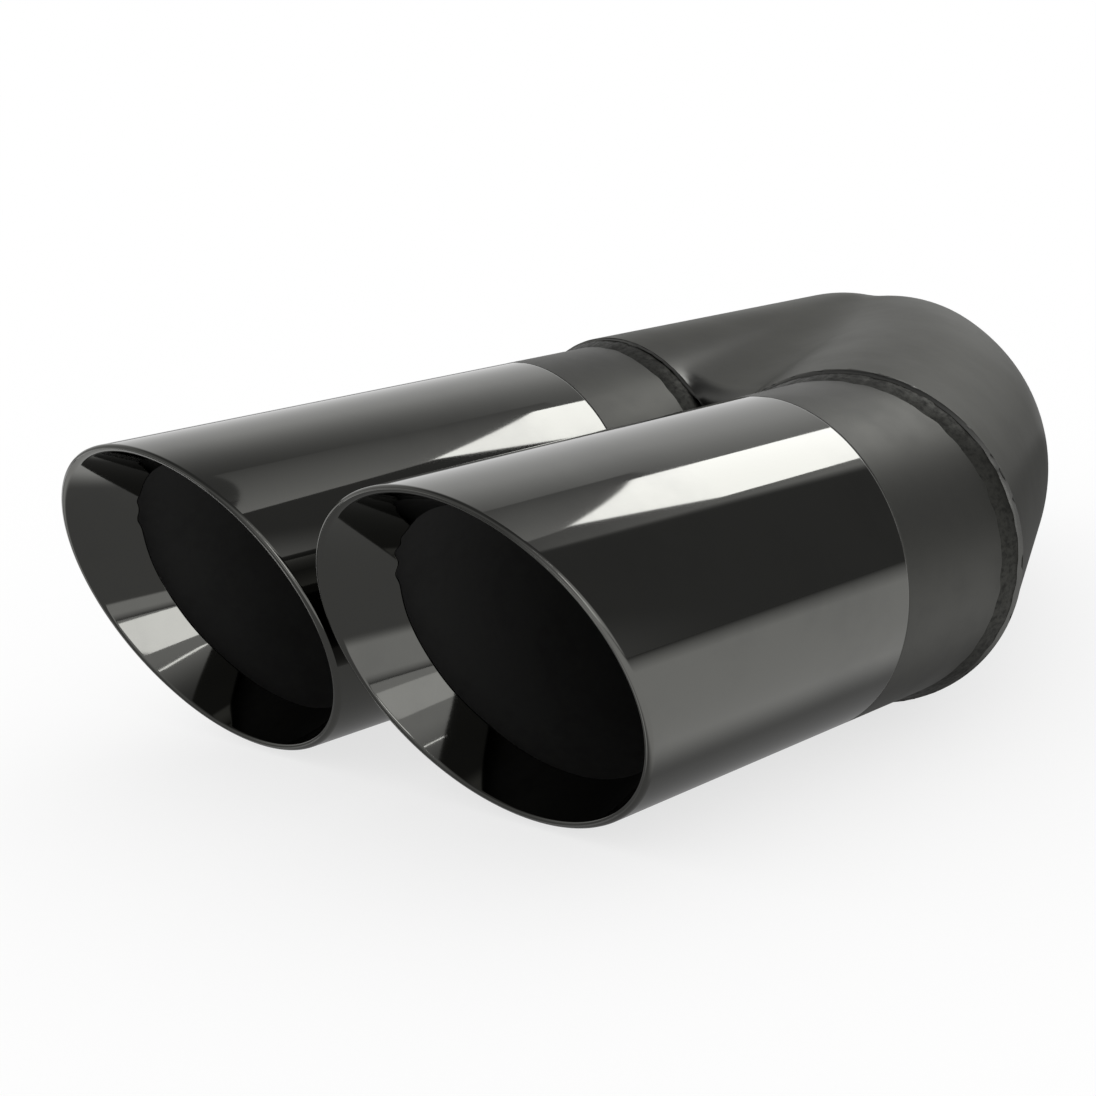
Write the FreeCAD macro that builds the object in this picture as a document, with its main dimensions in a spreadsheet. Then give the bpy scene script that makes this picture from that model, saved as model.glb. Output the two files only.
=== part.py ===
"""Exhaust y-pipe: one inlet socket, a formed Y-body and two slash-cut tips.

Millimetres, +Z up. The tips point along -Y, side by side in one level plane. The origin is the centre
of the inlet socket's open end. Stations along Y are set out from the glossy edge of the right tip.
"""

import FreeCAD, Part
import Sketcher
import math
import os

Vector = FreeCAD.Vector

SIZES = {
    "tip_radius": 38.0,
    "tip_sheet": 1.0,
    "tip_gap": 2.4,
    "right_tip_length": 84.5,
    "left_tip_length": 103.0,
    "mouth_turn": 28.78,
    "mouth_tilt": 22.04,
    "mouth_round": 0.6,
    "lip_depth": 14.0,
    "lip_lean": 21.5,
    "collar_wall": 1.5,
    "collar_joggle": 2.5,
    "spigot_depth": 12.0,
    "spigot_clearance": 0.1,
    "left_tip_setback": 2.9,
    "left_collar_show": 21.5,
    "left_collar_lap": 12.0,
    "right_collar_show": 26.8,
    "leg_clearance": 0.15,
    "body_wall": 1.6,
    "leg_splay": 29.6,
    "leg_run": 56.4,
    "bend_radius": 168.7,
    "bend_turn": 18.9,
    "left_leg_length": 92.9,
    "web_rise": 30.0,
    "taper_length": 36.0,
    "inlet_pipe_radius": 28.5,
    "inlet_clearance": 0.2,
    "inlet_depth": 24.0,
    "weld_width": 3.0,
    "weld_bulge": 2.4,
    "weld_shy": 0.2,
}

# Fits and places that several pieces share, worked out from the sizes above.
PITCH = "(2 * Sizes.tip_radius + Sizes.tip_gap)"
LIP_MOUTH = "(Sizes.tip_radius - 2 * Sizes.tip_sheet)"
LIP_LEAN = "(Sizes.lip_lean * 1 deg)"
SLEEVE_INNER = "(Sizes.tip_radius - Sizes.tip_sheet)"
COLLAR_INNER = "(Sizes.tip_radius - Sizes.collar_wall)"
SPIGOT_OUTER = f"({SLEEVE_INNER} - Sizes.spigot_clearance)"
SPIGOT_INNER = f"({SPIGOT_OUTER} - Sizes.collar_wall)"
LEG_INNER = "(Sizes.tip_radius + Sizes.leg_clearance)"
LEG_OUTER = f"({LEG_INNER} + Sizes.body_wall)"
INLET_INNER = "(Sizes.inlet_pipe_radius + Sizes.inlet_clearance)"
INLET_OUTER = f"({INLET_INNER} + Sizes.body_wall)"
WELD_OUTER = f"({LEG_OUTER} - Sizes.weld_shy)"
LEFT_RIM = "(Sizes.left_tip_setback + Sizes.left_collar_show)"
LEFT_DOME = f"({LEFT_RIM} + Sizes.left_leg_length)"
WASTE = "(2 * Sizes.tip_radius)"

# The right leg leaves its mitre at the splay angle, runs straight, then bends on to the inlet's heading.
SPLAY = "(Sizes.leg_splay * 1 deg)"
MITRE = "(Sizes.leg_splay / 2 * 1 deg)"
HEADING = "((Sizes.leg_splay + Sizes.bend_turn) * 1 deg)"
MITRE_OVERRUN = f"(2 * {LEG_OUTER} * tan({MITRE}))"
RUN_END_X = f"(-Sizes.leg_run * sin({SPLAY}))"
RUN_END_Y = f"(Sizes.right_collar_show + Sizes.leg_run * cos({SPLAY}))"
JUNCTION_X = f"({RUN_END_X} + Sizes.bend_radius * (cos({HEADING}) - cos({SPLAY})))"
JUNCTION_Y = f"({RUN_END_Y} + Sizes.bend_radius * (sin({HEADING}) - sin({SPLAY})))"
INLET_REACH = "(Sizes.taper_length + Sizes.inlet_depth)"
INLET_X = f"({JUNCTION_X} - {INLET_REACH} * sin({HEADING}))"
INLET_Y = f"({JUNCTION_Y} + {INLET_REACH} * cos({HEADING}))"

# A sketch names its origin -1, and the ends and centre of a line or arc 1, 2 and 3.
ORIGIN, START, END, CENTRE = -1, 1, 2, 3

# An oval's own axes come next in its sketch, after the oval itself.
LONG_AXIS, SHORT_AXIS = 1, 2

document = FreeCAD.newDocument("ExhaustYPipe")
sheet = document.addObject("Spreadsheet::Sheet", "Sizes")
for row, (alias, value) in enumerate(SIZES.items(), start=1):
    sheet.set(f"A{row}", alias)
    sheet.set(f"B{row}", str(value))
    sheet.setAlias(f"B{row}", alias)
document.recompute()

nodes = []


def number(size):
    """What an expression of the sheet's sizes comes to now."""
    result = sheet.evalExpression(size)
    return float(getattr(result, "Value", result))


def new_node(label, axis_x, station):
    """Start a sub-part, with its own origin at a point of the setting-out frame of the right tip."""
    body = document.addObject("PartDesign::Body", label)
    body.Label = label
    body.setExpression("Placement.Base.x", f"{axis_x} - {INLET_X}")
    body.setExpression("Placement.Base.y", f"{station} - {INLET_Y}")
    nodes.append(body)
    return body


def origin_plane(body, role):
    """One of the three planes through a sub-part's own origin."""
    return next(part for part in body.Origin.OriginFeatures if part.Role == role)


def tilted(x, y, z, yaw="0", pitch="0", roll="0"):
    """An offset from an origin plane, as sizes along and turns about that plane's own axes."""
    return f"placement(vector({x}; {y}; {z}); rotation({yaw}; {pitch}; {roll}))"


def new_sketch(body, name, role, offset):
    """Lay a sketch on one of the sub-part's origin planes, moved off it where an offset is given."""
    sketch = body.newObject("Sketcher::SketchObject", name)
    sketch.AttachmentSupport = (origin_plane(body, role), [""])
    sketch.MapMode = "FlatFace"
    if offset:
        sketch.setExpression("AttachmentOffset", offset)
    return sketch


def drive(sketch, name, kind, places, size):
    """Add a dimension to a sketch and bind it to the sheet."""
    index = sketch.addConstraint(Sketcher.Constraint(kind, *places, number(size)))
    sketch.renameConstraint(index, name)
    sketch.setExpression(f"Constraints.{name}", size)


def circles(body, name, *radii, offset=None):
    """Circles about the tube's axis, on the plane across it."""
    sketch = new_sketch(body, name, "XZ_Plane", offset)
    for index, radius in enumerate(radii):
        sketch.addGeometry(Part.Circle(Vector(), Vector(0, 0, 1), number(radius)), False)
        sketch.addConstraint(Sketcher.Constraint("Coincident", index, CENTRE, ORIGIN, START))
        drive(sketch, f"radius{index}", "Radius", (index,), radius)
    return sketch


def arc_between(start, end, radius):
    """The short anticlockwise arc from start to end."""
    chord = end - start
    rise = math.sqrt(radius ** 2 - (chord.Length / 2) ** 2)
    centre = start + chord / 2 + Vector(-chord.y, chord.x, 0).normalize() * rise
    angles = [math.atan2(point.y - centre.y, point.x - centre.x) for point in (start, end)]
    return Part.ArcOfCircle(Part.Circle(centre, Vector(0, 0, 1), radius), *angles)


def outline(body, name, corners, bows, offset=None, closed=True):
    """Corners placed by sizes and joined in turn. bows gives the radius of each side that is an arc."""
    sketch = new_sketch(body, name, "XY_Plane", offset)
    points = [Vector(number(x), number(y), 0) for x, y in corners]
    sides = len(points) if closed else len(points) - 1
    for side in range(sides):
        start, end = points[side], points[(side + 1) % len(points)]
        if side in bows:
            sketch.addGeometry(arc_between(start, end, number(bows[side])), False)
        else:
            sketch.addGeometry(Part.LineSegment(start, end), False)
    for side in range(sides if closed else sides - 1):
        sketch.addConstraint(Sketcher.Constraint("Coincident", side, END, (side + 1) % sides, START))
    for corner, (x, y) in enumerate(corners):
        side, end = (corner, START) if corner < sides else (corner - 1, END)
        drive(sketch, f"across{corner}", "DistanceX", (ORIGIN, START, side, end), x)
        drive(sketch, f"along{corner}", "DistanceY", (ORIGIN, START, side, end), y)
    for side, radius in bows.items():
        drive(sketch, f"bow{side}", "Radius", (side,), radius)
    return sketch


def turned(body, kind, name, sketch):
    """Turn an outline about its own Y axis, as metal added or as metal taken away."""
    feature = body.newObject(f"PartDesign::{kind}", name)
    feature.Profile = sketch
    feature.ReferenceAxis = (sketch, ["V_Axis"])
    document.recompute()
    return feature


def pocket(body, name, sketch, forward):
    """Cut all the metal on one side of a sketch: in front of it, towards the mouths, or behind it."""
    before = body.Shape.Volume
    feature = body.newObject("PartDesign::Pocket", name)
    feature.Profile = sketch
    feature.Type = "ThroughAll"
    feature.Reversed = forward
    document.recompute()
    if feature.Shape.Volume >= before:
        raise RuntimeError(f"{name} cuts nothing")
    return feature


def pad(body, name, sketch, length, centred=False):
    """Raise a sketch towards the mouths, or both ways from its plane."""
    feature = body.newObject("PartDesign::Pad", name)
    feature.Profile = sketch
    feature.Midplane = centred
    feature.setExpression("Length", length)
    document.recompute()
    return feature


def edge_names(shape, wanted):
    """The names of the edges that a test picks out."""
    return [f"Edge{index}" for index, edge in enumerate(shape.Edges, start=1) if wanted(edge)]


def rounded(body, name, base, wanted, radius):
    """Round the edges of a feature that a test picks out."""
    feature = body.newObject("PartDesign::Fillet", name)
    feature.Base = (base, edge_names(base.Shape, wanted))
    feature.setExpression("Radius", radius)
    document.recompute()
    return feature


def lies_on(edge, point, normal):
    """Whether an edge lies in the plane through a point."""
    middle = edge.valueAt((edge.FirstParameter + edge.LastParameter) / 2)
    ends = [vertex.Point for vertex in edge.Vertexes]
    return all(abs((place - point).dot(normal)) < 1e-4 for place in [middle] + ends)


def oval(body, name, radius, offset):
    """Where a plane with the mouth's tilt cuts an upright tube: an oval, longer up the tilt."""
    sketch = new_sketch(body, name, "XZ_Plane", offset)
    up = f"{radius} / cos(Sizes.mouth_tilt * 1 deg)"
    sketch.addGeometry(Part.Ellipse(Vector(0, number(up), 0), Vector(number(radius), 0, 0), Vector()), False)
    sketch.exposeInternalGeometry(0)
    sketch.addConstraint(Sketcher.Constraint("Coincident", 0, CENTRE, ORIGIN, START))
    sketch.addConstraint(Sketcher.Constraint("Vertical", LONG_AXIS))
    drive(sketch, "long_axis", "Distance", (LONG_AXIS,), f"2 * {up}")
    drive(sketch, "short_axis", "Distance", (SHORT_AXIS,), f"2 * {radius}")
    return sketch


def coned(body, kind, name, near, far):
    """Join two ovals with a straight-sided surface, as metal added or as metal taken away."""
    feature = body.newObject(f"PartDesign::{kind}Loft", name)
    feature.Profile = near
    feature.Sections = [far]
    feature.Ruled = True
    document.recompute()
    return feature


def make_tip(label, length, axis_x, station):
    """Slash-cut tip sleeve, with its mouth edge folded back inside as a lip. Its back end is at station."""
    body = new_node(label, axis_x, station)

    def behind_mouth(depth):
        """The mouth's plane, moved back along the tube by a depth."""
        return tilted("0", "0", f"{length} - {depth}", yaw="Sizes.mouth_turn", roll="Sizes.mouth_tilt")

    def lip_oval(name, depth, sheet):
        """Section of the lip's inner face, or of its outer face one sheet out, at a depth."""
        radius = f"({LIP_MOUTH} - {depth} * tan({LIP_LEAN}) + {sheet} / cos({LIP_LEAN}))"
        return oval(body, name, radius, behind_mouth(depth))

    pad(body, "Blank", circles(body, "BlankRing", "Sizes.tip_radius"), f"{length} + {WASTE}")
    pocket(body, "Mouth", circles(body, "MouthPlane", WASTE + " * 2", offset=behind_mouth("0")), True)

    fold = body.newObject("PartDesign::Plane", "Fold")
    fold.AttachmentSupport = (origin_plane(body, "XZ_Plane"), [""])
    fold.MapMode = "FlatFace"
    fold.setExpression("AttachmentOffset", behind_mouth("Sizes.tip_sheet"))
    document.recompute()
    bore = body.newObject("PartDesign::Pocket", "SleeveBore")
    bore.Profile = circles(body, "SleeveRing", SLEEVE_INNER)
    bore.Reversed = True
    bore.Type = "UpToFace"
    bore.UpToFace = (fold, [""])
    document.recompute()

    coned(body, "Additive", "LipSkin", lip_oval("SkinFront", "Sizes.tip_sheet / 2", "Sizes.tip_sheet"),
          lip_oval("SkinBack", "Sizes.lip_depth", "Sizes.tip_sheet"))
    cut = coned(body, "Subtractive", "LipBore", lip_oval("BoreFront", "-Sizes.tip_sheet", "0"),
                lip_oval("BoreBack", "(Sizes.lip_depth + Sizes.tip_sheet)", "0"))

    turn = FreeCAD.Rotation(number("Sizes.mouth_turn"), 0, number("Sizes.mouth_tilt"))
    across = FreeCAD.Rotation(Vector(1, 0, 0), 90).multVec(turn.multVec(Vector(0, 0, 1)))
    centre = Vector(0, -number(length), 0)
    rounded(body, "MouthRound", cut, lambda edge: lies_on(edge, centre, across), "Sizes.mouth_round")
    return body


def collar_outline(body, back):
    """Section of a collar: a spigot that goes into the tip, a joggle, then tube flush with the tip."""
    corners = [
        (SPIGOT_INNER, "-Sizes.spigot_depth"),
        (SPIGOT_OUTER, "-Sizes.spigot_depth"),
        (SPIGOT_OUTER, "0"),
        ("Sizes.tip_radius", "0"),
        ("Sizes.tip_radius", back),
        (COLLAR_INNER, back),
        (COLLAR_INNER, "Sizes.collar_joggle"),
        (SPIGOT_INNER, "0"),
    ]
    return outline(body, "CollarSection", corners, {})


def make_left_collar():
    """Straight collar, lapped inside the left leg."""
    body = new_node("left_collar", f"-{PITCH}", "Sizes.left_tip_setback")
    back = "(Sizes.left_collar_show + Sizes.left_collar_lap)"
    turned(body, "Revolution", "Tube", collar_outline(body, back))


def make_right_collar():
    """Collar whose back end is cut to the mitre of the right leg."""
    body = new_node("right_collar", "0", "0")
    back = f"(Sizes.right_collar_show + {WASTE})"
    turned(body, "Revolution", "Tube", collar_outline(body, back))
    pocket(body, "MitreCut", circles(body, "MitrePlane", WASTE, offset=mitre_plane("0")), False)


def mitre_plane(ahead):
    """Where the right collar meets its leg, or a plane parallel to that and ahead of it."""
    return tilted("0", "0", f"{ahead} - Sizes.right_collar_show", pitch=MITRE)


def make_left_weld():
    """Bead in the corner between the left collar and the rim of its leg. It stops at the right leg."""
    body = new_node("left_weld", f"-{PITCH}", LEFT_RIM)
    corners = [("Sizes.tip_radius", "-Sizes.weld_width"), (WELD_OUTER, "0"), ("Sizes.tip_radius", "0")]
    bead = outline(body, "BeadSection", corners, {0: "Sizes.weld_bulge"})
    turned(body, "Revolution", "Bead", bead)
    run_end = tilted(f"({RUN_END_X} + {PITCH})", "0", f"({LEFT_RIM} - {RUN_END_Y})", pitch=SPLAY)
    pocket(body, "LegCut", circles(body, "LegRing", LEG_OUTER, offset=run_end), True)


def make_right_weld():
    """Bead in the corner between the right collar and the mitred rim of its leg."""
    body = new_node("right_weld", "0", "0")
    ring = circles(body, "BeadRing", WELD_OUTER, "Sizes.tip_radius",
                   offset=tilted("0", "0", "-Sizes.right_collar_show"))
    pad(body, "Blank", ring, WASTE, centred=True)
    pocket(body, "RimCut", circles(body, "RimPlane", WASTE, offset=mitre_plane("0")), False)
    front = mitre_plane("Sizes.weld_width")
    cut = pocket(body, "ToeCut", circles(body, "ToePlane", WASTE, offset=front), True)
    mitre = math.radians(number("Sizes.leg_splay") / 2)
    normal = Vector(math.sin(mitre), -math.cos(mitre), 0)
    toe = Vector(0, number("Sizes.right_collar_show - Sizes.weld_width"), 0)
    outer = number(WELD_OUTER)

    def toe_edge(edge):
        """The outer edge of the bead's front face."""
        spot = edge.valueAt(edge.FirstParameter)
        return lies_on(edge, toe, normal) and abs(math.hypot(spot.x, spot.z) - outer) < 1e-4

    rounded(body, "BeadRound", cut, toe_edge, f"({WELD_OUTER} - Sizes.tip_radius - Sizes.weld_shy)")


def leg_surfaces(body, metal, leg_radius, inlet_radius, rim, end):
    """The left leg with its dome, the right leg and the inlet taper, as metal or as the bore in it."""
    turn, sweep = ("Revolution", "AdditivePipe") if metal else ("Groove", "SubtractivePipe")
    part = "Skin" if metal else "Bore"
    left = outline(
        body,
        f"Left{part}Section",
        [("0", rim), (leg_radius, rim), (leg_radius, LEFT_DOME), ("0", f"{LEFT_DOME} + {leg_radius}")],
        {2: leg_radius},
        offset=tilted(f"-{PITCH}", "0", "0"),
    )
    turned(body, turn, f"Left{part}", left)

    start_x = f"({MITRE_OVERRUN} * sin({SPLAY}))"
    start_y = f"(Sizes.right_collar_show - {MITRE_OVERRUN} * cos({SPLAY}))"
    path = outline(
        body,
        f"Right{part}Path",
        [(start_x, start_y), (RUN_END_X, RUN_END_Y), (JUNCTION_X, JUNCTION_Y)],
        {1: "Sizes.bend_radius"},
        closed=False,
    )
    across = tilted(start_x, "0", f"-{start_y}", pitch=SPLAY)
    right = body.newObject(f"PartDesign::{sweep}", f"Right{part}")
    right.Profile = circles(body, f"Right{part}Ring", leg_radius, offset=across)
    right.Spine = (path, ["Edge1", "Edge2"])
    document.recompute()

    taper = outline(
        body,
        f"Inlet{part}Section",
        [("0", "0"), (leg_radius, "0"), (inlet_radius, "Sizes.taper_length"), (inlet_radius, end), ("0", end)],
        {},
        offset=tilted(JUNCTION_X, JUNCTION_Y, "0", yaw=HEADING),
    )
    return turned(body, turn, f"Inlet{part}", taper)


def web_plan(body, name, inset):
    """The crotch seen from above: from rim to rim, and back to where the legs have run together."""
    corners = [
        (f"-{PITCH}", f"{LEFT_RIM} + {inset}"),
        ("0", f"Sizes.right_collar_show + {inset}"),
        (RUN_END_X, RUN_END_Y),
        (f"-{PITCH}", LEFT_DOME),
    ]
    return outline(body, name, corners, {})


def make_y_body():
    """Formed body: a straight left leg, a mitred and bent right leg, and a taper to the inlet socket.

    A hollow web closes the crotch between the legs, a little lower than their backs.
    The left leg's bore is cut from the tip onwards, so that the right leg's rim is notched round the left collar.
    """
    body = new_node("y_body", "0", "0")
    leg_surfaces(body, True, LEG_OUTER, INLET_OUTER, LEFT_RIM, INLET_REACH)
    pad(body, "Web", web_plan(body, "WebPlan", "0"), "2 * Sizes.web_rise", centred=True)
    pocket(body, "MitreCut", circles(body, "MitrePlane", WASTE, offset=mitre_plane("0")), True)
    end = f"({INLET_REACH} + Sizes.body_wall)"
    leg_surfaces(body, False, LEG_INNER, INLET_INNER, "Sizes.left_tip_setback", end)
    hollow = body.newObject("PartDesign::Pocket", "WebHollow")
    hollow.Profile = web_plan(body, "HollowPlan", "Sizes.body_wall")
    hollow.Midplane = True
    hollow.setExpression("Length", "2 * (Sizes.web_rise - Sizes.body_wall)")
    document.recompute()


make_tip("left_tip", "Sizes.left_tip_length", f"-{PITCH}", "Sizes.left_tip_setback")
make_tip("right_tip", "Sizes.right_tip_length", "0", "0")
make_left_collar()
make_right_collar()
make_y_body()
make_left_weld()
make_right_weld()
document.recompute()

for item in document.Objects:
    if {"Invalid", "Error"} & set(item.State):
        raise RuntimeError(f"{item.Label} did not build: {item.State}")
for node in nodes:
    if node.Shape.isNull() or not node.Shape.isValid() or len(node.Shape.Solids) != 1:
        raise RuntimeError(f"{node.Label} is not one whole solid")

os.makedirs("parts", exist_ok=True)
for node in nodes:
    node.Shape.exportStep(os.path.join("parts", node.Label + ".step"))
    box = node.Shape.BoundBox
    print(node.Label, "volume", round(node.Shape.Volume), "box",
          [round(size, 2) for size in (box.XMin, box.YMin, box.ZMin, box.XMax, box.YMax, box.ZMax)])
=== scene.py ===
"""Exhaust y-pipe with two slash-cut tips, photographed on a white sweep.

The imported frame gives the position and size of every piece. This script adds the looks: mirror-dark folded tips,
satin collars, rippled weld beads, the formed Y-body with its blended crotch, and the studio around them. Sizes in
the classes are millimetres and degrees. They are set out from the glossy back edge of the right tip, on its axis: X
to the right, Y towards the inlet, Z up. The scene itself is in metres.
"""

import logging
import math
from dataclasses import dataclass
from enum import Enum
from typing import ClassVar

import bmesh
import bpy
import numpy as np
from bpy.types import Material, Mesh, Node, NodeSocket, Object, World
from mathutils import Matrix, Vector


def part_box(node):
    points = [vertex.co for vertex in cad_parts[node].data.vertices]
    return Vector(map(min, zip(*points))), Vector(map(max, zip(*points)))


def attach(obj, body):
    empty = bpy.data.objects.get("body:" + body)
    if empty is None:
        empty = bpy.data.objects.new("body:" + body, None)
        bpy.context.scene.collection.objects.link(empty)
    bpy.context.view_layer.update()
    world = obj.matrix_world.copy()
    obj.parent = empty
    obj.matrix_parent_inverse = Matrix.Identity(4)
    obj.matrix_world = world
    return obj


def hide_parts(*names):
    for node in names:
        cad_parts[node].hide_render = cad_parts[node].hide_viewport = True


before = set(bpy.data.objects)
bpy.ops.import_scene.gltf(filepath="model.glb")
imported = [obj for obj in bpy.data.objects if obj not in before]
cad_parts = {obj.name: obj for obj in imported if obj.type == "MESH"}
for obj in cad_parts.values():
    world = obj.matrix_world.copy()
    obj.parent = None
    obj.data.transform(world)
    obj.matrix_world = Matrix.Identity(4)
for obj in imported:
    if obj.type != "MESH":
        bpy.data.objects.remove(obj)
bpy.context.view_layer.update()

logging.basicConfig(level=logging.INFO, format="%(message)s")
log = logging.getLogger("y_pipe")

MM = 0.001
TINY = 1e-9

Point = tuple[float, float, float]
Span = tuple[float, float]
Input = NodeSocket | float


class Slot(Enum):
    """Material slots of the record."""

    TIP = "black_chrome"
    COLLAR = "satin_collar"
    BODY = "satin_body"
    WELD = "weld_metal"


def linear(hex_colour: str) -> tuple[float, float, float, float]:
    """Convert an sRGB hex colour to the linear colour that the shaders take.

    Args:
        hex_colour: Colour as "#rrggbb".

    Returns:
        Linear red, green, blue and an alpha of 1.
    """
    channels = [int(hex_colour[start:start + 2], 16) / 255 for start in (1, 3, 5)]
    lifted = [c / 12.92 if c <= 0.04045 else ((c + 0.055) / 1.055) ** 2.4 for c in channels]
    return lifted[0], lifted[1], lifted[2], 1.0


WHITE = linear("#ffffff")


class Graph:
    """Node tree of one shader."""

    def __init__(self, owner: Material | World) -> None:
        """Give a material or world an empty node tree."""
        owner.use_nodes = True
        self.tree = owner.node_tree
        self.tree.nodes.clear()

    def add(self, kind: str, inputs: dict | None = None, **settings) -> Node:
        """Add a node with its settings, and fill or link its inputs.

        Args:
            kind: Type of node.
            inputs: For an input, by name or number, the value it takes or the output linked to it.
            settings: Properties of the node.

        Returns:
            The new node.
        """
        node = self.tree.nodes.new(kind)
        for name, value in settings.items():
            setattr(node, name, value)
        for key, value in (inputs or {}).items():
            if isinstance(value, NodeSocket):
                self.tree.links.new(value, node.inputs[key])
            else:
                node.inputs[key].default_value = value
        return node

    def ramp(self, value: Input, start: float, end: float, low: float = 0.0, high: float = 1.0,
             course: str = "SMOOTHSTEP") -> NodeSocket:
        """Go from the low value to the high one while an input goes from start to end."""
        ends = {"From Min": start, "From Max": end, "To Min": low, "To Max": high}
        return self.add("ShaderNodeMapRange", {"Value": value, **ends}, interpolation_type=course).outputs[0]

    def maths(self, operation: str, first: Input, second: Input = 0.0, **settings) -> NodeSocket:
        """Work out one or two numbers with an operation of the maths node."""
        return self.add("ShaderNodeMath", {0: first, 1: second}, operation=operation, **settings).outputs[0]

    def mix(self, share: Input, first: Input, second: Input) -> NodeSocket:
        """Go from the first number to the second as the share goes from 0 to 1."""
        return self.add("ShaderNodeMix", {0: share, 2: first, 3: second}).outputs[0]

    def noise(self, place: Input, size: float, detail: float, roughness: float) -> NodeSocket:
        """Add noise whose coarsest patches have a size in mm."""
        return self.add("ShaderNodeTexNoise", {
            "Vector": place, "Scale": 1 / (size * MM), "Detail": detail, "Roughness": roughness,
        }).outputs[0]

    def white(self, strength: Input) -> NodeSocket:
        """Add white light of a radiance."""
        return self.add("ShaderNodeEmission", {"Color": WHITE, "Strength": strength}).outputs[0]


@dataclass(frozen=True)
class Finish:
    """A metal finish whose gloss and tint drift a little over the surface."""

    name: str  # Real material and process
    colour: str  # Reflectance of the metal as sRGB hex
    stain: str  # Reflectance where it is dulled
    stain_size: float
    stain_amount: float  # How far the dulled patches go towards the stain colour
    gloss: float  # Roughness of the clean metal
    gloss_drift: float  # Added roughness in the dulled patches
    grain_size: float
    grain_height: float
    stretch: float = 1.0  # How many times longer the grain is along the pipe than across it
    metal: float = 1.0  # 1 for bare or plated metal, 0 for a layer of oxide
    edge: str = "#ffffff"  # Tint of what it mirrors at a glancing angle, as sRGB hex

    PATCHES: ClassVar[Span] = (5.0, 0.62)  # Detail and roughness of the noise that sets the dulled patches
    GRAIN: ClassVar[Span] = (4.0, 0.6)  # The same of the fine grain's noise
    # Noise at which the colour starts to be dulled, and at which it is fully so
    STAINED: ClassVar[Span] = (0.42, 0.72)
    HAZED: ClassVar[Span] = (0.35, 0.75)  # The same for the gloss

    def build(self) -> Material:
        """Make the material.

        Returns:
            The material with its shader.
        """
        material = bpy.data.materials.new(self.name)
        graph = Graph(material)
        place = graph.add("ShaderNodeTexCoord").outputs["Object"]
        patches = graph.noise(place, self.stain_size, *self.PATCHES)
        dulled = graph.ramp(patches, *self.STAINED, high=self.stain_amount)
        tint = graph.add("ShaderNodeMix", {
            0: dulled, 6: linear(self.colour), 7: linear(self.stain)}, data_type="RGBA")
        rough = graph.ramp(patches, *self.HAZED, self.gloss, self.gloss + self.gloss_drift, "LINEAR")
        drawn = graph.add("ShaderNodeMapping", {"Vector": place, "Scale": (1.0, 1 / self.stretch, 1.0)})
        grain = graph.noise(drawn.outputs[0], self.grain_size, *self.GRAIN)
        relief = graph.add("ShaderNodeBump", {
            "Height": grain, "Strength": 1.0, "Distance": self.grain_height * MM})
        shader = graph.add("ShaderNodeBsdfPrincipled", {
            "Base Color": tint.outputs[2], "Metallic": self.metal, "Roughness": rough,
            "Normal": relief.outputs[0], "Specular Tint": linear(self.edge)})
        graph.add("ShaderNodeOutputMaterial", {"Surface": shader.outputs[0]})
        return material


# Black chrome over polished steel: a dark mirror, with faint draw lines along the tube and hardly any haze.
BLACK_CHROME = Finish("black_chrome_polished", "#656562", "#5a5a58", 34.0, 0.5, 0.035, 0.03, 0.9, 0.0008, 40.0)

# Behind the lip no plating reaches: the steel has its dark furnace oxide, matt and near black.
OXIDE_BORE = Finish("oxidised_steel_bore", "#2f2f2e", "#262625", 14.0, 0.8, 0.6, 0.2, 1.5, 0.01, 6.0, 0.0)

# Satin black plating over brushed tube: grey sheen, soft highlights, no sharp reflection.
SATIN_COLLAR = Finish("satin_black_plated_tube", "#4d4d4a", "#474745", 11.0, 0.4, 0.5, 0.05, 0.7, 0.003, 0.35)

# The same plating over formed sheet: lighter face on and a little glossier, but dimmer at a glancing angle, so that
# the outline stays quiet.
SATIN_BODY = Finish("satin_black_plated_sheet", "#5e5e5c", "#555553", 22.0, 0.4, 0.33, 0.05, 0.9, 0.004,
                    edge="#bcbcba")

# Plating over a run of weld: dull, grainy, and darker than the sheet beside it, partly as painted shade of its
# corner.
WELD_BEAD_AND_PAINTED_SHADE = Finish("black_plated_weld_bead_and_painted_shade", "#3e3e3b", "#292928", 1.2, 0.7, 0.5, 0.2, 0.4, 0.04)


def tip_origin() -> Vector:
    """Find where the right tip's axis passes its glossy back edge, from the frame, in metres."""
    low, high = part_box("right_tip")
    return Vector(((low[0] + high[0]) / 2, high[1], (low[2] + high[2]) / 2))


ORIGIN = tip_origin()


def scene_point(point: Point) -> Vector:
    """Turn a set-out point in mm into a scene point in metres."""
    return ORIGIN + Vector(point) * MM


def scene_rows(points: np.ndarray) -> np.ndarray:
    """Turn rows of set-out points in mm into scene points in metres."""
    return np.asarray(ORIGIN) + points * MM


def publish(name: str, mesh: Mesh, finishes: list[Material], node: str) -> Object:
    """Put a finished mesh in the scene in place of its node of the frame.

    Args:
        name: Name of the new piece.
        mesh: Its mesh, in scene metres.
        finishes: Materials in the order of the mesh's slots.
        node: Node of the frame that it stands for.

    Returns:
        The new object.
    """
    piece = bpy.data.objects.new(name, mesh)
    bpy.context.collection.objects.link(piece)
    for finish in finishes:
        mesh.materials.append(finish)
    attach(piece, "root")
    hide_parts(node)
    log.info("%s: %d vertices, %d faces", name, len(mesh.vertices), len(mesh.polygons))
    return piece


LEVEL: Span = (0.0, 0.0)


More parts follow.
